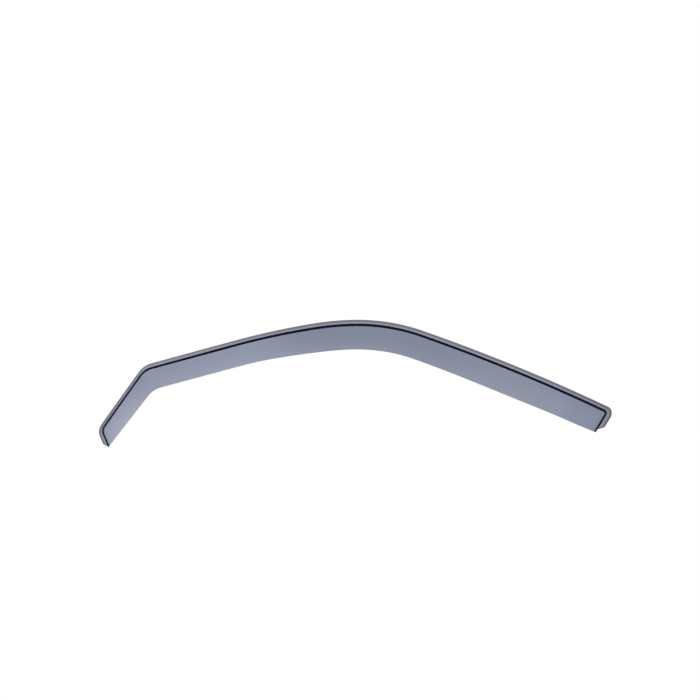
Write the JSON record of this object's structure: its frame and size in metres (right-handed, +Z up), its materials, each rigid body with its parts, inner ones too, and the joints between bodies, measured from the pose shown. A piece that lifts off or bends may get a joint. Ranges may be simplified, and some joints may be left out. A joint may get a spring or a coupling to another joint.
{
  "type": "window rain deflector",
  "caption": "Smoke-tinted in-channel rain deflector for a front door: arched visor with a stepped shoulder and insertion flange.",
  "frame": {"origin": "middle of the insertion flange's inner face, at the crown of the arch", "axes": "+X along the strip towards its front end, +Z up in the flange's plane, -Y away from the car: the flange's plane is modelled upright"},
  "size_m": [0.9013, 0.0389, 0.2243],
  "materials": {
    "smoke_acrylic": "clear smoke-tinted acrylic, polished, with a satin milled tongue"
  },
  "bodies": {
    "root": {"deflector": "smoke_acrylic"}
  },
  "joints": []
}
